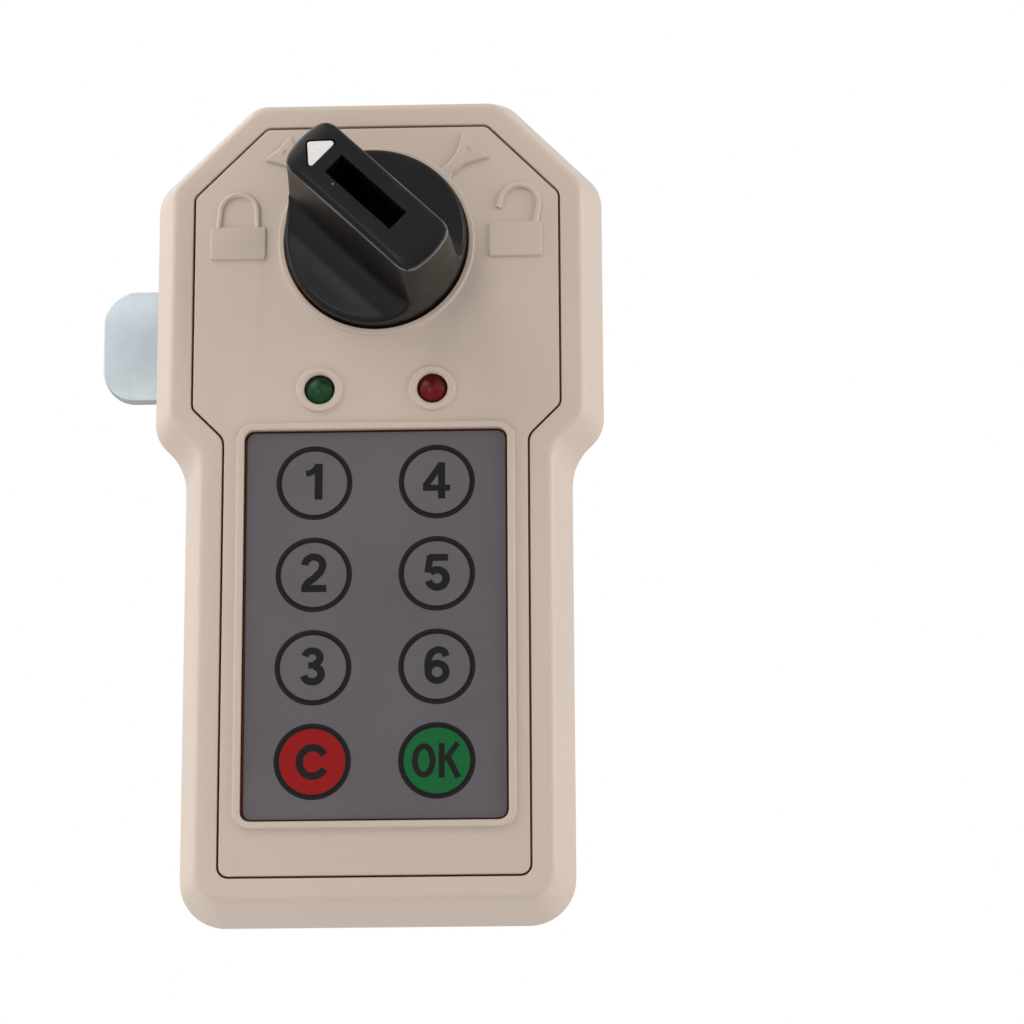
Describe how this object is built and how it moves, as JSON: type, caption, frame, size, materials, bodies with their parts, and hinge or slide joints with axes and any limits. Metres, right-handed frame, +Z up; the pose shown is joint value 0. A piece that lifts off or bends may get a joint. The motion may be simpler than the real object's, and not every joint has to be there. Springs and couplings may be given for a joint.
{
  "type": "electronic cabinet lock",
  "caption": "Keypad cam lock for cabinet doors: moulded housing, round keys, a turning knob with key slot and a steel cam behind.",
  "frame": {"origin": "centre of the door cut-out on the door's front face, where the flange seats", "axes": "+Z up along the housing, +Y back into the cabinet, +X to the right seen from the front; the keys and knob face -Y"},
  "size_m": [0.0828, 0.081, 0.1276],
  "materials": {
    "housing": "satin moulded, fine grain",
    "panel": "satin moulded, fine grain",
    "film": "satin printed film",
    "key_grey": "satin",
    "key_red": "satin",
    "key_green": "satin",
    "black_plastic": "satin moulded",
    "dark_plastic": "matt",
    "white_plastic": "satin",
    "lamp_green": "clear tinted",
    "lamp_red": "clear tinted",
    "zinc": "bright zinc plate",
    "steel": "machined",
    "brass": "turned",
    "board": "solder mask",
    "copper": "wound enamelled wire",
    "cell": "printed sleeve",
    "lead_red": "insulated lead"
  },
  "bodies": {
    "housing": {"front_housing": "housing", "front_panel": "panel", "keypad_overlay": "film", "dome_sheet": "steel", "main_board": "board", "controller_chip": "dark_plastic", "buzzer": "dark_plastic", "led_green": "lamp_green", "led_red": "lamp_red", "lock_cylinder": "steel", "spindle_bush": "brass", "rear_case": "black_plastic", "battery_1": "cell", "battery_2": "cell", "battery_3": "cell", "battery_4": "cell", "contact_top_left": "steel", "contact_bottom_left": "steel", "contact_top_right": "steel", "contact_bottom_right": "steel", "battery_lead_positive": "lead_red", "battery_lead_negative": "dark_plastic", "solenoid_frame": "zinc", "solenoid_coil": "copper", "plunger_spring": "steel", "case_screw_1": "zinc", "case_screw_2": "zinc", "case_screw_3": "zinc", "case_screw_4": "zinc", "board_screw_1": "zinc", "board_screw_2": "zinc", "board_screw_3": "zinc", "board_screw_4": "zinc", "cylinder_screw_1": "zinc", "cylinder_screw_2": "zinc"},
    "knob_assembly": {"knob": "black_plastic", "pointer_insert": "white_plastic", "key_plug": "brass", "spindle": "zinc", "locking_disc": "steel", "stop_washer": "zinc", "cam": "zinc", "cam_washer": "steel", "cam_screw": "steel"},
    "key_1_cap": {"key_1": "key_grey"},
    "key_2_cap": {"key_2": "key_grey"},
    "key_3_cap": {"key_3": "key_grey"},
    "key_clear_cap": {"key_clear": "key_red"},
    "key_4_cap": {"key_4": "key_grey"},
    "key_5_cap": {"key_5": "key_grey"},
    "key_6_cap": {"key_6": "key_grey"},
    "key_ok_cap": {"key_ok": "key_green"},
    "plunger": {"solenoid_plunger": "steel"},
    "cover": {"battery_cover": "black_plastic"}
  },
  "joints": [
    {"name": "knob_turn", "type": "hinge", "parent": "housing", "child": "knob_assembly", "pos_m": [0, 0, 0.0391], "axis": [0, 1, 0], "range_deg": [0, 90]},
    {"name": "key_1_press", "type": "slide", "parent": "housing", "child": "key_1_cap", "axis": [0, 1, 0], "range_m": [0, 0.00035], "stiffness_N_per_m": 800},
    {"name": "key_2_press", "type": "slide", "parent": "housing", "child": "key_2_cap", "axis": [0, 1, 0], "range_m": [0, 0.00035], "stiffness_N_per_m": 800},
    {"name": "key_3_press", "type": "slide", "parent": "housing", "child": "key_3_cap", "axis": [0, 1, 0], "range_m": [0, 0.00035], "stiffness_N_per_m": 800},
    {"name": "key_clear_press", "type": "slide", "parent": "housing", "child": "key_clear_cap", "axis": [0, 1, 0], "range_m": [0, 0.00035], "stiffness_N_per_m": 800},
    {"name": "key_4_press", "type": "slide", "parent": "housing", "child": "key_4_cap", "axis": [0, 1, 0], "range_m": [0, 0.00035], "stiffness_N_per_m": 800},
    {"name": "key_5_press", "type": "slide", "parent": "housing", "child": "key_5_cap", "axis": [0, 1, 0], "range_m": [0, 0.00035], "stiffness_N_per_m": 800},
    {"name": "key_6_press", "type": "slide", "parent": "housing", "child": "key_6_cap", "axis": [0, 1, 0], "range_m": [0, 0.00035], "stiffness_N_per_m": 800},
    {"name": "key_ok_press", "type": "slide", "parent": "housing", "child": "key_ok_cap", "axis": [0, 1, 0], "range_m": [0, 0.00035], "stiffness_N_per_m": 800},
    {"name": "plunger_lift", "type": "slide", "parent": "housing", "child": "plunger", "axis": [0, 0, 1], "range_m": [0, 0.0028], "stiffness_N_per_m": 60, "deforming": ["plunger_spring"]},
    {"name": "cover_slide", "type": "slide", "parent": "housing", "child": "cover", "axis": [0, 0, -1], "range_m": [0, 0.045]}
  ]
}
